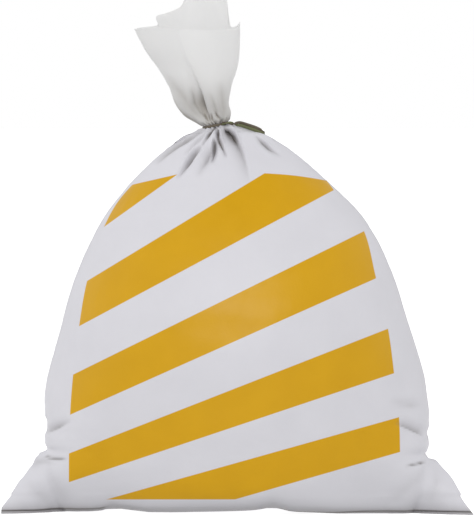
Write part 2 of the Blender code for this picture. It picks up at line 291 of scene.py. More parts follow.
# Valleys pressed into the film, drawn as the camera sees them: depth, how much painted shade darkens them,
# width on the left and on the right of the path, then the path as x, height, strength
frontValleys = (
    # out from under the tie
    (2.6, 1.3, 0.4, 0.6, ((-10.3, 178.8, 0.5), (-11.8, 177.1, 1.0), (-13.4, 175.2, 0.8),
                          (-15.0, 172.9, 0.3), (-16.4, 170.9, 0.2))),
    (4.0, 0.75, 1.0, 0.7, ((-17.2, 170.6, 0.1), (-19.0, 168.5, 0.6), (-20.8, 166.1, 0.9),
                           (-22.8, 163.0, 1.0), (-24.8, 160.0, 0.6), (-28.5, 154.5, 0.0))),
    (4.6, 1.0, 1.5, 0.4, ((-11.0, 173.8, 0.1), (-11.1, 172.0, 0.9), (-11.2, 169.6, 1.0),
                          (-11.4, 167.2, 0.75), (-11.7, 164.6, 0.4), (-12.1, 160.9, 0.0))),
    (2.4, 0.5, 1.6, 1.4, ((-11.4, 170.8, 0.1), (-12.8, 167.2, 0.8), (-14.4, 163.8, 0.9), (-16.6, 160.0, 0.4),
                          (-19.0, 155.0, 0.0))),
    (3.4, 1.2, 0.5, 0.8, ((-9.6, 178.9, 0.4), (-9.0, 176.0, 1.0), (-9.0, 174.2, 0.8), (-8.3, 172.0, 1.0),
                          (-7.2, 169.2, 0.8), (-6.2, 167.0, 0.4), (-5.0, 164.2, 0.0))),
    (4.4, 1.2, 0.5, 2.8, ((-6.2, 179.6, 0.3), (-4.6, 178.6, 0.9), (-3.2, 177.2, 1.0), (-1.6, 175.4, 1.0),
                          (-0.5, 173.4, 0.8), (0.5, 171.0, 0.5), (1.9, 168.2, 0.4), (3.4, 163.4, 0.25),
                          (6.0, 152.0, 0.0))),
    (1.9, 0.7, 0.5, 1.1, ((8.0, 175.6, 0.0), (10.5, 173.2, 0.6), (12.0, 171.8, 1.0), (14.5, 169.6, 1.0),
                          (17.4, 167.5, 0.4), (20.5, 165.3, 0.0))),
    (1.6, 0.6, 0.8, 1.6, ((-15.5, 178.4, 0.3), (-19.8, 175.2, 0.6), (-24.1, 172.7, 1.0), (-28.2, 170.3, 0.9),
                          (-33.0, 166.6, 0.7), (-38.6, 161.0, 0.0))),
    (1.0, 0.3, 0.8, 0.8, ((-14.0, 177.4, 0.4), (-17.6, 173.8, 0.9), (-22.6, 168.8, 0.5),
                          (-26.0, 165.4, 0.0))),
    # in the loose film
    (0.7, 0.3, 1.4, 2.2, ((-8.0, 201.0, 0.0), (-7.0, 194.0, 0.8), (-6.2, 187.6, 1.0), (-6.6, 183.6, 0.5))),
    (0.6, 0.3, 1.0, 1.2, ((-13.4, 196.0, 0.0), (-11.0, 189.6, 0.9), (-9.2, 184.4, 0.8),
                          (-8.2, 182.4, 0.3))),
    (0.9, 0.3, 2.4, 2.0, ((-34.0, 204.0, 0.0), (-27.0, 194.0, 1.0), (-20.0, 186.0, 0.8),
                          (-16.0, 183.0, 0.0))),
    (1.0, 0.5, 1.2, 1.2, ((-22.0, 198.0, 0.0), (-19.4, 190.0, 1.0), (-15.5, 184.5, 0.7),
                          (-14.0, 181.8, 0.3))),
    (1.2, 1.0, 0.4, 0.4, ((-16.2, 187.0, 0.0), (-14.7, 184.1, 1.0), (-13.6, 181.6, 0.5))),
    (1.2, 1.0, 0.4, 0.4, ((-14.0, 186.6, 0.0), (-13.2, 183.3, 1.0), (-12.6, 181.6, 0.5))),
    (1.2, 1.0, 0.4, 0.4, ((-12.4, 186.0, 0.0), (-11.9, 183.0, 1.0), (-11.5, 181.6, 0.5))),
    (1.2, 1.0, 0.4, 0.5, ((-11.0, 187.0, 0.0), (-9.6, 184.0, 1.0), (-8.0, 182.6, 0.6))),
    (0.2, 0.6, 0.6, 0.6, ((-30.6, 194.0, 0.0), (-28.0, 188.0, 0.6), (-25.6, 185.2, 0.9), (-21.9, 182.4, 1.0),
                          (-17.8, 180.0, 0.7))),
    # beside and over the left ear
    (1.2, 0.5, 1.6, 0.8, ((-89.2, 36.9, 0.2), (-87.0, 37.8, 0.8), (-83.6, 39.1, 1.0), (-80.5, 40.7, 0.5),
                          (-77.0, 42.6, 0.0))),
    (1.0, 0.9, 0.45, 0.6, ((-89.4, 26.0, 0.4), (-88.0, 25.3, 1.0), (-86.0, 24.9, 1.0), (-82.4, 24.5, 0.7),
                          (-79.0, 24.2, 0.0))),
    (0.3, 0.25, 1.8, 1.6, ((-96.0, 20.0, 0.0), (-93.0, 23.0, 1.0), (-89.4, 23.6, 0.8), (-84.0, 21.5, 0.0))),
    # beside and over the right ear
    (0.9, 0.2, 1.6, 2.0, ((70.0, 51.0, 0.0), (75.6, 50.3, 0.7), (81.1, 49.6, 1.0), (86.5, 50.2, 0.0))),
    (1.6, 0.5, 2.0, 0.6, ((73.0, 41.2, 0.0), (76.5, 39.8, 0.8), (79.9, 38.5, 1.0), (83.6, 36.7, 1.0),
                          (86.6, 34.8, 0.0))),
    (1.0, 0.9, 0.4, 0.5, ((77.5, 21.0, 0.0), (81.5, 21.8, 0.8), (85.0, 22.6, 1.0), (87.6, 23.4, 0.4))),
    # down the ears, soft ones
    (0.5, 0.1, 2.6, 2.0, ((-91.0, 24.0, 0.0), (-86.0, 15.0, 1.0), (-80.0, 4.0, 0.7), (-77.0, 0.0, 0.0))),
    (0.5, 0.1, 2.4, 2.4, ((-99.0, 15.0, 0.0), (-95.0, 10.0, 1.0), (-87.0, 2.0, 0.5))),
    (0.5, 0.1, 2.4, 2.8, ((89.0, 23.0, 0.4), (84.0, 15.0, 1.0), (74.0, 6.0, 0.7), (68.0, 2.0, 0.0))),
    (0.5, 0.1, 2.4, 2.0, ((91.0, 22.0, 0.3), (93.0, 14.0, 1.0), (90.0, 5.0, 0.5), (88.0, 1.0, 0.0))),
)
backValleys = (
    (3.2, 0.8, 0.8, 1.6, ((-12.2, 178.6, 0.3), (-16.5, 171.0, 1.0), (-21.5, 162.0, 0.6),
                          (-25.0, 152.0, 0.0))),
    (5.8, 0.9, 2.2, 0.8, ((-11.0, 178.8, 0.4), (-12.5, 171.0, 1.0), (-14.0, 161.0, 0.8),
                          (-17.0, 147.0, 0.0))),
    (4.4, 0.8, 0.6, 1.6, ((-8.8, 179.0, 0.4), (-6.0, 171.0, 1.0), (-4.0, 162.0, 0.6), (-3.0, 154.0, 0.0))),
    (5.6, 0.9, 0.7, 2.8, ((-6.5, 179.0, 0.4), (1.0, 172.0, 1.0), (7.0, 163.0, 0.7), (12.0, 149.0, 0.0))),
    (2.0, 0.5, 1.6, 2.2, ((0.0, 176.0, 0.4), (10.0, 171.0, 1.0), (22.0, 163.0, 0.0))),
    (1.5, 0.3, 1.2, 2.0, ((-89.0, 42.0, 0.8), (-80.0, 43.0, 1.0), (-66.0, 47.0, 0.0))),
    (1.6, 0.3, 1.4, 2.4, ((60.0, 34.0, 0.0), (74.0, 33.0, 1.0), (90.0, 37.0, 0.8))),
    (1.8, 0.3, 1.0, 1.6, ((-90.0, 26.0, 1.0), (-78.0, 21.0, 1.0), (-66.0, 19.0, 0.0))),
    (1.8, 0.3, 1.0, 1.6, ((64.0, 20.0, 0.0), (76.0, 23.0, 1.0), (90.0, 26.0, 1.0))),
    (1.0, 0.2, 2.4, 2.0, ((-91.0, 23.0, 0.0), (-85.0, 13.0, 1.0), (-74.0, 3.0, 0.7))),
    (1.0, 0.2, 2.4, 2.0, ((91.0, 22.0, 0.3), (86.0, 12.0, 1.0), (76.0, 3.0, 0.5))),
)


def smoothStep(low, high, value):
    s = np.clip((value - low) / (high - low), 0.0, 1.0)
    return s * s * (3 - 2 * s)


def eased(s, step, start, end, startSlope, endSlope):
    # the smooth way from start to end over one step, at its share s
    fromStart = (2 * s**3 - 3 * s**2 + 1) * start + (s**3 - 2 * s**2 + s) * step * startSlope
    fromEnd = (3 * s**2 - 2 * s**3) * end + (s**3 - s**2) * step * endSlope
    return fromStart + fromEnd


def smoothCurve(points, at):
    # the curve through (place, value) points that never overshoots them
    places, values = np.array(points, dtype=float).T
    slopes = np.diff(values) / np.diff(places)
    before, after = slopes[:-1], slopes[1:]
    sameWay = before * after > 0
    inner = np.where(sameWay, 2 * before * after / np.where(sameWay, before + after, 1.0), 0.0)
    tangents = np.concatenate([slopes[:1], inner, slopes[-1:]])
    at = np.clip(at, places[0], places[-1])
    k = np.clip(np.searchsorted(places, at, side="right") - 1, 0, len(slopes) - 1)
    step = places[k + 1] - places[k]
    s = (at - places[k]) / step
    return eased(s, step, values[k], values[k + 1], tangents[k], tangents[k + 1])


def outlineAt(name, height):
    # how far out the belly reaches on one side, and the same without its small dents
    dented = smoothCurve(body[name], height)
    evened = np.mean([smoothCurve(body[name], height + off) for off in body["evened"]])
    return abs(dented), abs(evened if height > body["evened"][-1] else dented)


def earReach(name, height, evened):
    # how far out the ear reaches on one side, or the belly above it
    return abs(smoothCurve(ears[name], height)) if height < ears[name][-1][0] else evened


def halfDepths(height, turns, side, tip, reach):
    # half the depth of belly, ears and weld at points that are so far out
    depth = body["halfDepth"] * smoothCurve(body["depth"], height)
    belly = depth * np.clip(1 - (reach / side) ** smoothCurve(body["squareness"], height), 0, 1) ** 0.5
    root, thin = smoothCurve(ears["rootHalfDepth"], height), ears["tipHalfDepth"]
    fin = thin + (root - thin) * np.clip((tip - reach) / np.maximum(tip - side, 1.0), 0, ears["fullest"])
    belly = (belly**4 + np.where(tip > side + ears["least"], fin, 0.0) ** 4) ** 0.25
    closed, rounding, upwards = ears["weld"]
    inside = (closed - reach + np.hypot(closed - reach, rounding)) / 2
    narrowed = thin + upwards * height + inside
    thick = (np.maximum(belly, 0.01) ** -4 + narrowed ** -4.0) ** -0.25
    least, comesIn, isFull = body["leastHalfDepth"]
    return np.maximum(thick, thin + least * np.abs(np.sin(turns)) * smoothStep(comesIn, isFull, height))


def leanForward(height, x):
    # how far the ears lie forward
    forward = np.where(x < 0, *ears["forward"]) * smoothStep(*ears["forwardFrom"], np.abs(x))
    return forward * (1 - smoothStep(*ears["forwardFades"], height))


def frontLift(height, turns, x):
    # how far the film's front edge is off the floor
    inFront = smoothStep(*body["frontEdgeSide"], -np.sin(turns))
    inFront = inFront + smoothStep(*body["frontEdgeEars"], np.abs(x))
    lift = smoothCurve(body["frontEdge"], x) * np.minimum(inFront, 1.0)
    return lift * (1 - smoothStep(*body["frontEdgeFades"], height))


def bodyRing(height, turns):
    # one ring of the filled bag with its ears
    middle = smoothCurve(body["middle"], height)
    onRight = np.cos(turns) > 0
    offset = np.where(onRight, -middle, middle)
    rightSide, rightEvened = outlineAt("right", height)
    leftSide, leftEvened = outlineAt("left", height)
    side = np.where(onRight, rightEvened, leftEvened) + offset
    dent = np.where(onRight, rightSide - rightEvened, leftSide - leftEvened)
    tip = np.where(onRight, earReach("right", height, rightEvened), earReach("left", height, leftEvened))
    tip = np.maximum(tip + offset, side)
    fromSide = np.abs(np.arcsin(np.clip(np.sin(turns), -1, 1)))
    reach = side * np.abs(np.cos(turns)) + (tip - side) * np.clip(1 - fromSide / ears["turn"], 0, 1)
    thick = halfDepths(height, turns, side, tip, reach)
    reach = reach + dent * smoothStep(body["dentsFrom"], 1.0, reach / side)
    x = middle + np.where(onRight, 1.0, -1.0) * reach
    forward = leanForward(height, x)
    if height < hem["upTo"]:
        thick, ruffle = weldedHem(height, x, thick)
        forward = forward + ruffle
    backOrFront = np.where(np.abs(np.sin(turns)) < 1e-6, 0.0, np.sign(np.sin(turns)))
    return np.stack([x, backOrFront * thick - forward, height + frontLift(height, turns, x)], axis=1)


def wavesAlong(x, length, seed):
    return np.array([noise.noise(Vector((place / length, 0.0, seed))) for place in x])


def weldedHem(height, x, thick):
    # the weld along the ears' lower edge: a groove, and under it a thin wavy flange on the floor
    inEar = smoothStep(*hem["flangeFrom"], np.abs(x))
    wave = wavesAlong(x, *hem["wave"])
    ripple = wavesAlong(x, *hem["ripple"])
    rise = hem["rises"] * wave
    flat, gone = hem["flangeHeight"]
    inFlange, inRuffle = hem["rippleShare"]
    flange = hem["flange"] * (1 + wave + inFlange * ripple) * (1 - smoothStep(flat, gone + rise, height))
    groove = hem["groove"] * np.exp(-(((height - hem["height"] - rise) / hem["grooveWidth"]) ** 2))
    groove = np.minimum(groove, hem["grooveShare"] * thick)
    fading = 1 - smoothStep(hem["ruffleFrom"], hem["upTo"], height)
    ruffle = hem["ruffle"] * (wave + inRuffle * ripple) * fading
    return thick + (flange - groove) * inEar, ruffle * inEar


def roundCurve(turns, values, at):
    # a smooth closed curve through values given at turns
    turns = np.radians(turns)
    around = np.concatenate([turns[-2:] - 2 * pi, turns, turns[:2] + 2 * pi])
    values = np.concatenate([values[-2:], values, values[:2]])
    k = np.clip(np.searchsorted(around, at, side="right") - 1, 1, len(around) - 3)
    step = around[k + 1] - around[k]
    s = (at - around[k]) / step
    startTangent = (values[k + 1] - values[k - 1]) / (around[k + 1] - around[k - 1])
    endTangent = (values[k + 2] - values[k]) / (around[k + 2] - around[k])
    return eased(s, step, values[k], values[k + 1], startTangent, endTangent)


def neckRing(section, turns):
    # one ring of the gathered neck or of the loose film above it
    leftX, leftZ, rightX, rightZ, depth, fanned, opened = section
    turn, lowX, lowY, mouthX, mouthY, mouthZ = np.array(fan, dtype=float).T
    fanX = roundCurve(turn, lowX + (mouthX - lowX) * opened, turns)
    fanY = roundCurve(turn, lowY + (mouthY - lowY) * opened, turns)
    shareX = np.cos(turns) + (fanX - np.cos(turns)) * fanned
    shareY = np.sin(turns) + (fanY - np.sin(turns)) * fanned
    x = (leftX + rightX) / 2 + (rightX - leftX) / 2 * shareX
    z = (leftZ + rightZ) / 2 + (rightZ - leftZ) / 2 * shareX
    mouthLeftZ, mouthRightZ = neck[-1][1], neck[-1][3]
    straightCut = (mouthLeftZ + mouthRightZ) / 2 + (mouthRightZ - mouthLeftZ) / 2 * fanX
    risen = smoothStep(pleats["looseFrom"], mouthLeftZ, (leftZ + rightZ) / 2)
    z = z + (roundCurve(turn, mouthZ, turns) - straightCut) * risen
    return np.stack([x, depth * shareY, z], axis=1)


def throughRings(rings, steps):
    # rings on the smooth surface that runs through the given ones
    rings = np.concatenate([2 * rings[:1] - rings[1:2], rings, 2 * rings[-1:] - rings[-2:-1]])
    result = []
    for k, count in enumerate(steps):
        a, b, c, d = rings[k:k + 4]
        for s in np.arange(count) / count:
            result.append(0.5 * (2 * b + (c - a) * s + (2 * a - 5 * b + 4 * c - d) * s**2
                                 + (3 * b - a - 3 * c + d) * s**3))
    result.append(rings[-2])
    return np.array(result)


def fromTie(grid):
    # how far the film's points are from the tie, and at which angle round it
    x, y, z = np.moveaxis(grid - np.array(waist["middle"]), -1, 0)
    y = waist["flatness"] * y
    outward = np.maximum(np.hypot(x, y) - waist["radius"], 0.0)
    return np.hypot(outward, z - waist["tilt"] * x), np.arctan2(y, x)


def unevenly(angle, wide, narrow):
    # an angle made uneven by two waves, of three and five to the round, so that no two folds are alike
    return angle + wide[0] * np.sin(3 * angle + wide[1]) + narrow[0] * np.sin(5 * angle + narrow[1])


def gatherPleats(grid, turns):
    # small pleats where the tie draws the film in, and the folds that they join to
    uneven = unevenly(turns, *pleats["tightUneven"])
    valley = np.abs(np.cos(uneven * pleats["count"] / 2)) ** pleats["tightSharpness"]
    away = fromTie(grid)[0]
    share, fade = pleats["tight"]
    inward = share * np.exp(-((away / fade) ** 2)) * valley[None, :]
    inward = inward[:, :, None] * np.array((1.0, 1.0, 0.0))
    grid = grid + (grid.mean(axis=1, keepdims=True) - grid) * inward
    away, angle = fromTie(grid)
    total = np.zeros(away.shape)
    wide, narrow = pleats["uneven"]
    mean, changing = pleats["strength"]
    wideShift, narrowShift, foldShift, strengthShift = pleats["shifts"]
    for k, (count, low, high, depth) in enumerate(pleats["folds"]):
        narrowStart = narrowShift * k + away / pleats["winding"]
        uneven = unevenly(angle, (wide, wideShift * k), (narrow, narrowStart))
        fold = np.abs(np.sin(uneven * count / 2 + foldShift * k))
        strength = mean + changing * np.sin(2 * angle + strengthShift * k + pleats["strengthStart"])
        comesIn = smoothStep(0.0, low + pleats["foldsComeIn"], away)
        window = comesIn * (1 - smoothStep(pleats["foldsFadeFrom"] * high, high, away))
        total += depth * strength * window * (1 - fold) ** pleats["sharpness"]
    total *= 1 - (1 - pleats["calmer"]) * smoothStep(*pleats["calmerFrom"], -np.sin(angle))
    above = grid[..., 2] > waist["middle"][2] + pleats["aboveFrom"]
    total = np.where(above, total * (1 - smoothStep(*pleats["aboveFades"], away)), total)
    return grid - gridNormals(grid) * total[:, :, None]


def gatheredDust(grid):
    # painted shade in the loose film's folds, next to the tie, along the weld and near the floor
    away = fromTie(grid)[0]
    widest = np.maximum(np.abs(grid[..., 0] - grid[..., 0].mean(axis=1, keepdims=True)).max(axis=1), 1.0)
    deepest = np.maximum(np.abs(grid[..., 1]).max(axis=1), 1.0)
    across = (grid[..., 0] - grid[..., 0].mean(axis=1, keepdims=True)) / widest[:, None]
    inwards = 1 - np.hypot(across, grid[..., 1] / deepest[:, None])
    x, z = grid[..., 0], grid[..., 2]
    above = smoothStep(*paintedShading["looseHeights"], z) * (1 - smoothStep(*paintedShading["looseEnds"], z))
    inFolds = paintedShading["loose"] * above * smoothStep(*paintedShading["inFolds"], inwards)
    nextToTie = paintedShading["tie"] * np.exp(-((away / paintedShading["tieFades"]) ** 2))
    nextToTie = nextToTie * smoothStep(*paintedShading["tieHeights"], z)
    left, right = hem["from"]
    onHem = smoothStep(left, left + hem["comesIn"], -x) + smoothStep(right, right + hem["comesIn"], x)
    height = z - smoothCurve(body["frontEdge"], x)
    line = hem["height"] - paintedShading["hemLower"] + smoothStep(*paintedShading["hemHidden"], np.abs(x))
    # a painted shadow line along the ears' weld
    onHem *= np.exp(-(((height - line) / paintedShading["hemWidth"]) ** 2))
    # painted shade that grows darker near the floor
    onFloor = paintedShading["floor"] * np.exp(-((height / paintedShading["floorFades"]) ** 2))
    return np.maximum(np.maximum(inFolds, nextToTie), np.maximum(onHem, onFloor))


def gridNormals(grid):
    around = np.roll(grid, -1, axis=1) - np.roll(grid, 1, axis=1)
    normals = np.cross(around, np.gradient(grid, axis=0))
    return normals / np.maximum(np.linalg.norm(normals, axis=2, keepdims=True), 1e-9)


def pressValleys(grid, paintedShade, turns, valleys, facing):
    # press the valleys in along the film's normals, let their lips rise a little, and paint shade into them
    oneSide = smoothStep(*press["oneSide"], facing * np.sin(turns))[None, :]
    clear = smoothStep(*press["clearOfTie"], fromTie(grid)[0])
    seen = seenAt(grid)
    total = np.zeros(seen.shape[:2])
    for depth, shaded, leftWidth, rightWidth, path in valleys:
        nearest = np.full(total.shape, 1e9)
        across = np.zeros(total.shape)
        strength = np.zeros(total.shape)
        for (x1, z1, s1), (x2, z2, s2) in zip(path[:-1], path[1:]):
            length = hypot(x2 - x1, z2 - z1)
            alongX, alongZ = (x2 - x1) / length, (z2 - z1) / length
            offX, offZ = seen[..., 0] - x1, seen[..., 1] - z1
            along = np.clip(offX * alongX + offZ * alongZ, 0.0, length)
            distance = np.hypot(offX - along * alongX, offZ - along * alongZ)
            closer = distance < nearest
            nearest = np.where(closer, distance, nearest)
            across = np.where(closer, offX * alongZ - offZ * alongX, across)
            strength = np.where(closer, s1 + (s2 - s1) * along / length, strength)
        share = nearest / np.where(across > 0, rightWidth, leftWidth)
        lip = press["lip"] * np.exp(-(((share - press["lipAt"]) / press["lipWidth"]) ** 2))
        total += depth * strength * (np.exp(-share) - lip)
        # painted shade in the valley, darkest along its path
        paintedShade = np.maximum(paintedShade, shaded * strength * oneSide * np.exp(-(share ** press["paintedShadeEnds"])))
    return grid - gridNormals(grid) * (total * oneSide * clear)[..., None], paintedShade


def unevenBelly(grid):
    # the powder behind the film is never quite even
    normals = gridNormals(grid)
    moved = grid.copy()
    large, small = film["lumpSizes"]
    elsewhere = Vector((7.0, 3.0, 1.0))         # in the noise
    for r in range(grid.shape[0]):
        share = float(smoothStep(0.0, film["evenOnFloor"], grid[r, 0, 2]))
        for c in range(grid.shape[1]):
            place = Vector(grid[r, c])
            lump = noise.noise(place / large) + film["smallLumps"] * noise.noise(place / small + elsewhere)
            crinkle = noise.noise(place / film["crinkleSize"])
            moved[r, c] += normals[r, c] * (film["lumps"] * lump + film["crinkle"] * crinkle) * share
    return moved


def filmGrid():
    turns = 2 * pi * np.arange(film["columns"]) / film["columns"]
    heights = [0.0]
    while heights[-1] < film["bodyUpTo"]:
        heights.append(heights[-1] + [step for start, step in film["bodyRows"] if start <= heights[-1]][-1])
    rows = [bodyRing(height, turns) for height in heights]
    shoulderTop = body["depth"][-1][0]
    rings = [rows[-1], bodyRing(shoulderTop, turns)] + [neckRing(section, turns) for section in neck]
    grid = np.concatenate([np.array(rows[:-1]), throughRings(np.array(rings), neckSteps)])
    grid = gatherPleats(grid, turns)
    grid, paintedShade = pressValleys(grid, gatheredDust(grid), turns, frontValleys, -1)
    grid, paintedShade = pressValleys(grid, paintedShade, turns, backValleys, 1)
    grid = unevenBelly(grid)
    grid[:, :, 2] = np.maximum(grid[:, :, 2], 0.0)
    return grid, paintedShade


def loftedPiece(name, grid):
    # a closed skin through the rings, with the first one as a flat base and the last one drawn to a point
    rowCount, columnCount = grid.shape[:2]
    points = np.concatenate([grid.reshape(-1, 3), grid[-1].mean(axis=0, keepdims=True)])
    faces = []
    for r in range(rowCount - 1):
        for c in range(columnCount):
            d = (c + 1) % columnCount
            faces.append((r * columnCount + c, r * columnCount + d,
                          (r + 1) * columnCount + d, (r + 1) * columnCount + c))
    lastRow = (rowCount - 1) * columnCount
    for c in range(columnCount):
        faces.append((lastRow + c, lastRow + (c + 1) % columnCount, len(points) - 1))
    for c in range(columnCount // 2):
        corners = (c, c + 1, (columnCount - c - 1) % columnCount, (columnCount - c) % columnCount)
        faces.append(tuple(dict.fromkeys(corners))[::-1])
    mesh = bpy.data.meshes.new(name)
    mesh.from_pydata((points * mm).tolist(), [], faces)
    mesh.shade_smooth()
    mesh.update()
    piece = bpy.data.objects.new(name, mesh)
    scene.collection.objects.link(piece)
    return piece, points


def addFilm(grid, paintedShade):
    # the skin outside from the floor to the mouth, then down the loose film's inner face to the tie
    overTie = int(np.argmax(grid[:, :, 2].mean(axis=1) > waist["middle"][2] + film["innerSkinFrom"]))
    belowRim = grid[-1:] + (grid[-2:-1] - grid[-1:]) * film["rim"]
    grid = np.concatenate([grid[:-1], belowRim, grid[-1:]])
    paintedShade = np.concatenate([paintedShade, paintedShade[-1:]])
    inside = (grid - gridNormals(grid) * film["wall"])[overTie:][::-1]
    piece, points = loftedPiece("film", np.concatenate([grid, inside]))
    mesh = piece.data
    layer = mesh.uv_layers.new(name="print")
    corners = np.zeros(len(mesh.loops), dtype=int)
    mesh.loops.foreach_get("vertex_index", corners)
    layer.data.foreach_set("uv", (seenAt(points) / film["printScale"])[corners].ravel())
    # the painted shade, with the inner face getting a share of it
    innerPaintedShade = paintedShade[overTie:][::-1] * film["innerPaintedShade"]
    values = np.concatenate([paintedShade.ravel(), innerPaintedShade.ravel(), np.zeros(1)])
    mesh.attributes.new("paintedShade", "FLOAT", "POINT").data.foreach_set("value", values)
    bare = np.zeros(len(mesh.polygons), dtype=int)
    columnCount, rowCount = grid.shape[1], grid.shape[0] + inside.shape[0]
    bare[overTie * columnCount:rowCount * columnCount] = 1
    mesh.polygons.foreach_set("material_index", bare)
    print("film lofted:", len(mesh.vertices), "points")
    return piece


powder = {
    "columns": 96,
    "heights": (4.0, 6.0, 10.0, 18.0, 28.0, 40.0, 54.0, 70.0, 88.0, 106.0, 122.0, 136.0, 148.0, 155.0),
    "clearance": 7.0,               # from the film's even shape, so that its creases stay outside
    "rounding": (4.0, 28.0, 12.0),  # near the floor it is narrower still: from, up to, by
    "colours": ((222, 220, 214), (238, 237, 232)),
    # scale and detail of the clumps and of the grain between them
    "clumps": (160.0, 8.0),
    "grain": (2400.0, 4.0),
    "grainShare": 0.4,
    "roughness": (0.86, 0.12),      # least, and how much the grain adds
    "relief": (0.5, 0.0006),        # strength, metres
}


def addPowder():
    # the cement, just inside the film up to where the bag narrows
    turns = 2 * pi * np.arange(powder["columns"]) / powder["columns"]
    low, high, narrower = powder["rounding"]
    rings = []
    for height in powder["heights"]:
        middle = float(smoothCurve(body["middle"], height))
        halfWidth = (smoothCurve(body["right"], height) - smoothCurve(body["left"], height)) / 2
        halfWidth -= powder["clearance"] + narrower * (1 - smoothStep(low, high, height))
        halfDepth = body["halfDepth"] * smoothCurve(body["depth"], height - low) - powder["clearance"]
        x = middle + halfWidth * np.cos(turns)
        rings.append(np.stack([x, halfDepth * np.sin(turns), np.full_like(x, height)], axis=1))
    return loftedPiece("cement", np.array(rings))[0]


grid, paintedShade = filmGrid()
filmPiece = addFilm(grid, paintedShade)
powderPiece = addPowder()


# Numbers in a material, worked out with Python's own operators
class Wire:
    def __init__(self, socket):
        self.socket = socket

    def maths(self, operation, first, second=0.0, clamped=False):
        tree = self.socket.id_data
        node = tree.nodes.new("ShaderNodeMath")
        node.operation = operation
        node.use_clamp = clamped
        for place, value in zip(node.inputs, (first, second)):
            if isinstance(value, Wire):
                tree.links.new(value.socket, place)
            else:
                place.default_value = value
        return Wire(node.outputs[0])

    def __add__(self, other):
        return self.maths("ADD", self, other)

    def __radd__(self, other):
        return self.maths("ADD", other, self)

    def __sub__(self, other):
        return self.maths("SUBTRACT", self, other)

    def __rsub__(self, other):
        return self.maths("SUBTRACT", other, self)

    def __mul__(self, other):
        return self.maths("MULTIPLY", self, other)

    def __rmul__(self, other):
        return self.maths("MULTIPLY", other, self)

    def clamped(self):
        return self.maths("ADD", self, 0.0, clamped=True)


def colour(red, green, blue):
    # a colour as a picture program gives it, 0 to 255
    shares = [c / 255 for c in (red, green, blue)]
    return tuple(s / 12.92 if s < 0.04045 else ((s + 0.055) / 1.055) ** 2.4 for s in shares) + (1.0,)


class Finish:
    def __init__(self, name, shine=0.25):
        self.material = bpy.data.materials.new(name)
        self.material.use_nodes = True
        self.tree = self.material.node_tree
        self.shader = self.tree.nodes["Principled BSDF"]
        self.shader.inputs["Specular IOR Level"].default_value = shine

    def node(self, kind, settings=None, inputs=None):
        node = self.tree.nodes.new("ShaderNode" + kind)
        for name, value in (settings or {}).items():
            setattr(node, name, value)
        self.fill(node, inputs or {})
        return node

    def fill(self, node, inputs):
        for name, value in inputs.items():
            if isinstance(value, Wire):
                value = value.socket
            if isinstance(value, bpy.types.NodeSocket):
                self.tree.links.new(value, node.inputs[name])
            else:
                node.inputs[name].default_value = value

    def mix(self, share, first, second):
        node = self.node("Mix", {"data_type": "RGBA"})
        self.fill(node, {0: share, 6: first, 7: second})
        return node.outputs[2]

    def curve(self, value, points, low, high):
        # a smooth curve through (from, to) points
        node = self.node("FloatCurve", {}, {"Value": (value - low[0]) * (1 / (low[1] - low[0]))})
        line = node.mapping.curves[0]
        while len(line.points) < len(points):
            line.points.new(0.5, 0.5)
        for point, (start, end) in zip(line.points, points):
            point.location = ((start - low[0]) / (low[1] - low[0]), (end - high[0]) / (high[1] - high[0]))
        node.mapping.update()
        return Wire(node.outputs[0]) * (high[1] - high[0]) + high[0]

    def along(self, axis):
        # how far the point is along an axis, in metres
        parts = self.node("SeparateXYZ", {}, {0: self.node("TexCoord").outputs["Object"]})
        return Wire(parts.outputs[axis])

    def clouds(self, scale, detail):
        # a cloudy pattern that stays with the piece
        inputs = {"Vector": self.node("TexCoord").outputs["Object"], "Scale": scale, "Detail": detail}
        return Wire(self.node("TexNoise", {}, inputs).outputs[0])

    def between(self, share, colours):
        # a colour between a dark and a light one
        return self.mix(share, colour(*colours[0]), colour(*colours[1]))

    def relief(self, height, strength, distance):
        bump = self.node("Bump", {}, {"Height": height, "Strength": strength, "Distance": distance})
        self.fill(self.shader, {"Normal": bump.outputs[0]})
        return bump.outputs[0]


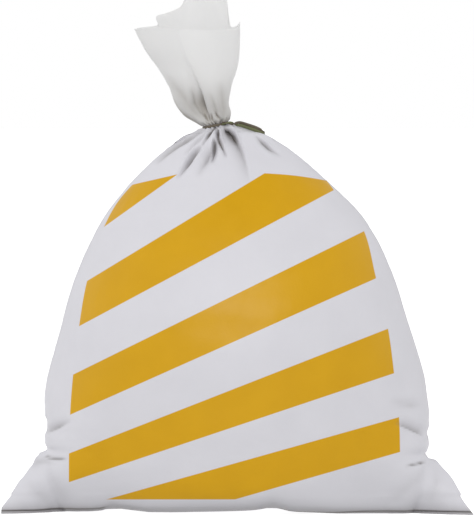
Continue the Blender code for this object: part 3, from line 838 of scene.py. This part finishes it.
# How the film looks up to the tie and, under loose, above it. Pairs of colours go from dark to light.
skin = {
    "white": ((227, 226, 232), (234, 233, 239)),
    "golden": ((218, 164, 14), (230, 176, 20)),
    # colour of the painted shade in creases, next to the tie, along the weld and near the floor
    "paintedShade": (122, 117, 114),
    "mottle": (60.0, 5.0),          # scale and detail
    "grain": (900.0, 3.0),
    "relief": (0.12, 0.0004),       # strength, metres
    "roughness": 0.42,
    "inkTakesOff": 0.06,
    "mottleAdds": 0.06,
    # how much rougher the film is where shade is painted
    "paintedShadeRoughens": 0.3,
}
loose = {
    # a darker colour as painted shade where the film is gathered near the tie, and a lighter one as painted
    # light where it is single
    "gathered": ((203, 201, 198), (213, 212, 210)),
    "litSingle": ((248, 248, 248), (253, 253, 253)),
    "through": (253, 252, 251),
    # colour of the painted shade in the loose film's folds
    "paintedShade": (142, 132, 118),
    "opens": (0.180, 0.206),        # metres up, over which the colour goes from the painted shade to the painted light
    "lightThrough": 0.15,
    "roughness": 0.40,
    "mottleAdds": 0.08,
}
printed = {
    "edge": 0.25,                   # mm over which the ink's edge fades
    # each stripe as its upper edge and its lower edge, through two points of each, as x and height
    "stripes": (
        (((-48.7, 152.2), (-28.0, 156.9)), ((-62.1, 132.5), (-28.0, 156.9))),
        (((-70.2, 107.2), (12.5, 157.4)), ((-74.0, 86.1), (44.8, 149.6))),
        (((-76.8, 63.6), (58.7, 130.4)), ((-78.0, 45.0), (64.6, 108.6))),
        (((-78.5, 27.0), (70.0, 85.1)), ((-78.5, 13.6), (72.7, 64.3))),
        (((-60.0, 5.9), (75.1, 43.9)), ((-1.2, 5.6), (75.6, 27.7))),
    ),
    "leftBorder": ((5.6, -78.5), (27.2, -78.5), (44.9, -78.0), (63.5, -76.6), (86.3, -73.8),
                   (107.3, -70.1), (132.4, -62.2), (152.4, -48.7)),
    "rightBorder": ((5.6, 75.8), (27.7, 75.6), (44.0, 75.1), (64.5, 72.8), (84.9, 70.0),
                    (108.7, 64.4), (130.5, 58.8), (149.6, 44.8), (154.0, 41.4)),
    "topBorder": ((-60.0, 149.6), (-48.7, 152.2), (-28.0, 156.9), (12.5, 157.4), (41.4, 154.0)),
    "bottomBorder": 5.6,
    # the mm that the borders' curves go from and to
    "upRange": (0.0, 160.0),
    "leftRange": (-90.0, -40.0),
    "rightRange": (30.0, 90.0),
    "acrossRange": (-60.0, 60.0),
    "topRange": (140.0, 160.0),
    # metres along Y behind which nothing is printed, and how sharply the ink stops there
    "frontEnds": -0.0025,
    "frontSharpness": 1500.0,
}


def inkEdge(distance):
    # 1 where a distance in mm is above zero, 0 below it, with a soft edge between
    return (distance * (1 / printed["edge"]) + 0.5).clamped()


def aboveLine(x, z, line):
    # 1 above the line through two points, 0 below it
    (x1, z1), (x2, z2) = line
    length = hypot(x2 - x1, z2 - z1)
    sideways, upward = -(z2 - z1) / length, (x2 - x1) / length
    return inkEdge(x * sideways + z * upward - (x1 * sideways + z1 * upward))


def paintedShadeOn(finish):
    # how much shade is painted at each point of the film
    return Wire(finish.node("Attribute", {"attribute_name": "paintedShade"}).outputs["Fac"])


def filmFinish():
    finish = Finish("printedFilm")
    place = finish.node("UVMap", {"uv_map": "print"})
    parts = finish.node("SeparateXYZ", {}, {0: place.outputs[0]})
    x = Wire(parts.outputs[0]) * film["printScale"]
    z = Wire(parts.outputs[1]) * film["printScale"]
    ink = 0.0
    for upper, lower in printed["stripes"]:
        ink = ink + (1.0 - aboveLine(x, z, upper)) * aboveLine(x, z, lower)
    left = finish.curve(z, printed["leftBorder"], printed["upRange"], printed["leftRange"])
    right = finish.curve(z, printed["rightBorder"], printed["upRange"], printed["rightRange"])
    top = finish.curve(x, printed["topBorder"], printed["acrossRange"], printed["topRange"])
    panel = inkEdge(x - left) * inkEdge(right - x) * inkEdge(top - z) * inkEdge(z - printed["bottomBorder"])
    onFront = ((printed["frontEnds"] - finish.along("Y")) * printed["frontSharpness"]).clamped()
    ink = (ink * panel * onFront).clamped()
    mottle = finish.clouds(*skin["mottle"])
    paintedShade = paintedShadeOn(finish)
    clean = finish.mix(ink, finish.between(mottle, skin["white"]), finish.between(mottle, skin["golden"]))
    roughness = skin["roughness"] - ink * skin["inkTakesOff"] + mottle * skin["mottleAdds"]
    # painted shade darkens the film in its creases, next to the tie, along the weld and near the floor
    finish.fill(finish.shader, {
        "Base Color": finish.mix(paintedShade, clean, colour(*skin["paintedShade"])),
        "Roughness": roughness + paintedShade * skin["paintedShadeRoughens"],
    })
    finish.relief(finish.clouds(*skin["grain"]), *skin["relief"])
    return finish.material


def looseFinish():
    # above the tie the film is bare, and the further it opens the more light comes through it. Its colour
    # goes from a painted shade near the tie to a painted light further up.
    finish = Finish("looseFilm")
    low, high = loose["opens"]
    inputs = {0: finish.along("Z"), 1: low, 2: high}
    opened = Wire(finish.node("MapRange", {"interpolation_type": "SMOOTHSTEP"}, inputs).outputs[0])
    mottle = finish.clouds(*skin["mottle"])
    paintedShade = paintedShadeOn(finish)
    gathered = finish.between(mottle, loose["gathered"])
    litSingle = finish.between(mottle, loose["litSingle"])
    # painted shade near the tie, painted light above it
    clean = finish.mix(opened, gathered, litSingle)
    # painted shade darkens the loose film's folds
    finish.fill(finish.shader, {
        "Base Color": finish.mix(paintedShade, clean, colour(*loose["paintedShade"])),
        "Roughness": loose["roughness"] + mottle * loose["mottleAdds"] + paintedShade * skin["paintedShadeRoughens"],
    })
    normal = finish.relief(finish.clouds(*skin["grain"]), *skin["relief"])
    through = finish.node("BsdfTranslucent", {}, {"Color": colour(*loose["through"]), "Normal": normal})
    both = finish.node("MixShader", {}, {
        0: opened * loose["lightThrough"],
        1: finish.shader.outputs[0],
        2: through.outputs[0],
    })
    finish.tree.links.new(both.outputs[0], finish.tree.nodes["Material Output"].inputs["Surface"])
    return finish.material


def powderFinish():
    finish = Finish("cementPowder")
    clumps = finish.clouds(*powder["clumps"])
    grain = finish.clouds(*powder["grain"])
    least, grainAdds = powder["roughness"]
    finish.fill(finish.shader, {
        "Base Color": finish.between(clumps, powder["colours"]),
        "Roughness": least + grain * grainAdds,
    })
    finish.relief(clumps + grain * powder["grainShare"], *powder["relief"])
    return finish.material


filmPiece.data.materials.append(filmFinish())
filmPiece.data.materials.append(looseFinish())
powderPiece.data.materials.append(powderFinish())
print("film and powder finished")


# The tie: a flat coated wire round the neck, its two ends twisted together
tie = {
    "halfWidth": 0.62,
    "halfThickness": 0.30,
    "ring": (6.0, 5.2),             # half width and half depth of the loop
    "ringPoints": 16,
    "tail": (
        (-7.2, -5.2, 180.5), (-4.6, -5.2, 180.9), (-2.4, -4.6, 180.5), (-0.6, -4.2, 180.4),
        (1.4, -4.0, 180.3), (4.6, -3.9, 179.3), (7.8, -3.6, 178.2), (10.4, -3.2, 177.1), (12.7, -2.8, 176.0),
    ),
    "tailSteps": 6,                 # between two of its points
    "strandPoints": 26,
    "twists": 1.0,
    "twistedUpTo": 0.42,            # share of the tail
    "flatTurn": radians(-62),
    # half the distance between the two ends, across their width and through it
    "spread": 0.62,
    "layer": 0.22,
    "twistedSpread": 0.45,          # share of the spread that the twist leaves
    "parts": (0.25, 0.5),           # shares of the tail over which the ends part
    "tips": (0.9, 0.6),             # from this share of the tail on they lie closer, by this share
    "width": ((0.0, 0.8), (0.28, 0.8), (0.40, 0.95), (0.55, 1.25), (0.8, 1.35), (0.92, 1.0), (1.0, 0.5)),
    "profileSteps": 4,
    "ribbonSteps": 6,
    "mergeWithin": 0.00001,         # metres
    "sharpEdge": radians(50),
    "olive": ((86, 90, 60), (128, 131, 96)),
    # a darker copy of the olive, as painted shade on the loop and the upper end
    "shaded": ((76, 69, 57), (122, 112, 97)),
    # scale and detail of the dirt and of the fine ribs
    "mottle": (260.0, 6.0),
    "ribs": (1500.0, 2.0),
    "relief": (0.2, 0.0002),        # strength, metres
    "roughness": (0.42, 0.15),      # least, and how much the dirt adds
}


def tieFinish(name, colours):
    finish = Finish(name)
    mottle = finish.clouds(*tie["mottle"])
    least, dirtAdds = tie["roughness"]
    finish.fill(finish.shader, {
        "Base Color": finish.between(mottle, colours),
        "Roughness": least + mottle * dirtAdds,
    })
    finish.relief(finish.clouds(*tie["ribs"]), *tie["relief"])
    return finish.material


def addProfile():
    # the wire's flat cross-section
    bpy.ops.curve.primitive_bezier_circle_add(radius=1.0)
    profile = bpy.context.active_object
    for point in profile.data.splines[0].bezier_points:
        for corner in ("co", "handle_left", "handle_right"):
            place = getattr(point, corner)
            flat = (place.x * tie["halfWidth"] * mm, place.y * tie["halfThickness"] * mm, 0.0)
            setattr(point, corner, flat)
    profile.data.resolution_u = tie["profileSteps"]
    profile.select_set(False)
    return profile


def addRibbon(name, profile, points, closed=False):
    # a flat ribbon through points, each with its place, tilt and share of the full width
    bpy.ops.curve.primitive_bezier_curve_add()
    ribbon = bpy.context.active_object
    ribbon.name = name
    spline = ribbon.data.splines[0]
    spline.bezier_points.add(len(points) - 2)
    for point, (place, tilt, share) in zip(spline.bezier_points, points):
        point.handle_left_type = "AUTO"
        point.handle_right_type = "AUTO"
        point.co = Vector(place) * mm
        point.tilt = tilt
        point.radius = share
    spline.use_cyclic_u = closed
    ribbon.data.twist_mode = "Z_UP"
    ribbon.data.bevel_mode = "OBJECT"
    ribbon.data.bevel_object = profile
    ribbon.data.use_fill_caps = not closed
    ribbon.data.resolution_u = tie["ribbonSteps"]
    bpy.ops.object.convert(target="MESH")
    ribbon.select_set(False)
    return ribbon


def addLoop(profile):
    middleX, middleY, middleZ = waist["middle"]
    halfWidth, halfDepth = tie["ring"]
    points = []
    for k in range(tie["ringPoints"]):
        turn = 2 * pi * k / tie["ringPoints"]
        x = middleX + halfWidth * cos(turn)
        y = middleY + halfDepth * sin(turn)
        points.append(((x, y, middleZ + waist["tilt"] * (x - middleX)), pi / 2, 1.0))
    return addRibbon("tie", profile, points, closed=True)


def addStrand(profile, path, side):
    # one of the wire's two ends, on its own side of the path that they share
    wound = 2 * pi * tie["twists"]
    tipsFrom, tipsShare = tie["tips"]
    points = []
    for k in range(tie["strandPoints"]):
        share = k / (tie["strandPoints"] - 1)
        turn = tie["flatTurn"] - wound + wound * min(share / tie["twistedUpTo"], 1.0)
        parted = tie["twistedSpread"] + (1 - tie["twistedSpread"]) * smoothStep(*tie["parts"], share)
        across = tie["spread"] * parted * np.array((0.0, cos(turn), -sin(turn)))
        through = tie["layer"] * np.array((0.0, sin(turn), cos(turn)))
        offset = side * (across + through) * (1.0 if share < tipsFrom else tipsShare)
        place = path[round(share * (len(path) - 1))] + offset
        points.append((tuple(place), turn, float(smoothCurve(tie["width"], share))))
    return addRibbon("strand", profile, points)


def addTie():
    # the loop and the upper end get a darker copy of the olive as painted shade, the lower end shows the
    # tie's olive face
    profile = addProfile()
    tail = np.array(tie["tail"])[:, None, :]
    path = throughRings(tail, (tie["tailSteps"],) * (len(tail) - 1))[:, 0, :]
    pieces = [addLoop(profile), addStrand(profile, path, -1.0), addStrand(profile, path, 1.0)]
    olive = tieFinish("oliveTie", tie["olive"])
    shaded = tieFinish("shadedTie", tie["shaded"])
    for piece, finish in zip(pieces, (shaded, olive, shaded)):
        piece.data.materials.append(finish)
    bpy.data.objects.remove(profile)
    for piece in pieces:
        piece.select_set(True)
    bpy.context.view_layer.objects.active = pieces[0]
    bpy.ops.object.join()
    joined = bpy.context.active_object
    bpy.ops.object.mode_set(mode="EDIT")
    bpy.ops.mesh.select_all(action="SELECT")
    bpy.ops.mesh.remove_doubles(threshold=tie["mergeWithin"])
    bpy.ops.mesh.normals_make_consistent(inside=False)
    bpy.ops.object.mode_set(mode="OBJECT")
    bpy.ops.object.shade_smooth_by_angle(angle=tie["sharpEdge"])
    joined.select_set(False)
    print("tie wound:", len(joined.data.vertices), "points")
    return joined


tiePiece = addTie()


studio = {
    # soft light from all round, by where it comes from
    "left": 1.2,
    "right": 1.0,
    "back": 0.4,
    "above": 0.11,
    "below": 0.455,
    "horizon": 1.0,                 # a narrow bright band, so that the distance is pale
    "bandEnds": (1.5, 25.0),        # the band and the floor's line: where and how sharply they end
    "floorLine": (1.5, 40.0),
    # a lamp in front of the bag and a floor, in metres
    "lampPlace": (0.0, -1.6, 0.8),
    "lampAim": (0.0, 0.0, 0.1),
    "lampSize": 0.6,
    "lampPower": 10.5,              # watts
    "floorSize": 400.0,
    "floorColour": (0.9, 0.9, 0.9, 1.0),
    "floorRoughness": 0.7,
    "floorGlow": 0.8,
    "white": (1.0, 1.0, 1.0, 1.0),
}


def addFloor():
    bpy.ops.mesh.primitive_plane_add(size=studio["floorSize"], location=(0.0, 0.0, 0.0))
    floor = bpy.context.active_object
    floor.name = "floor"
    finish = Finish("paleFloor")
    finish.fill(finish.shader, {
        "Base Color": studio["floorColour"],
        "Roughness": studio["floorRoughness"],
        "Emission Color": studio["white"],
        "Emission Strength": studio["floorGlow"],
    })
    finish.material.cycles.emission_sampling = "NONE"
    floor.data.materials.append(finish.material)
    floor.visible_diffuse = False        # the soft light from below comes through it
    floor.visible_shadow = False
    floor.select_set(False)


def addSoftLight():
    world = bpy.data.worlds.new("studio")
    world.use_nodes = True
    tree = world.node_tree
    background = tree.nodes["Background"]
    background.inputs["Color"].default_value = studio["white"]
    direction = tree.nodes.new("ShaderNodeTexCoord")
    parts = tree.nodes.new("ShaderNodeSeparateXYZ")
    tree.links.new(direction.outputs["Generated"], parts.inputs[0])
    sideways, backward, upward = (Wire(output) for output in parts.outputs)
    level = sideways.clamped() * studio["right"] + (-1.0 * sideways).clamped() * studio["left"]
    level = level + backward.clamped() * studio["back"] + upward.clamped() * studio["above"]
    bandFrom, bandSharpness = studio["bandEnds"]
    band = (bandFrom - upward * bandSharpness).clamped() * studio["horizon"]
    level = level.maths("MAXIMUM", level, band)
    lineFrom, lineSharpness = studio["floorLine"]
    above = (upward * lineSharpness + lineFrom).clamped()
    strength = studio["below"] + above * (level - studio["below"])
    tree.links.new(strength.socket, background.inputs["Strength"])
    scene.world = world


def addLamp():
    data = bpy.data.lights.new("frontLight", "AREA")
    data.size = studio["lampSize"]
    data.energy = studio["lampPower"]
    lamp = bpy.data.objects.new("frontLight", data)
    lamp.location = studio["lampPlace"]
    direction = Vector(studio["lampAim"]) - Vector(studio["lampPlace"])
    lamp.rotation_euler = direction.to_track_quat("-Z", "Y").to_euler()
    scene.collection.objects.link(lamp)


addFloor()
addSoftLight()
addLamp()
scene.view_settings.view_transform = "Standard"
print("stage and lights set")

for piece, slot, node in (
    (filmPiece, "film", "film_bag"),
    (powderPiece, "cement", "cement_fill"),
    (tiePiece, "tie", "neck_tie"),
):
    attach(piece, "root")
    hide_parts(node)
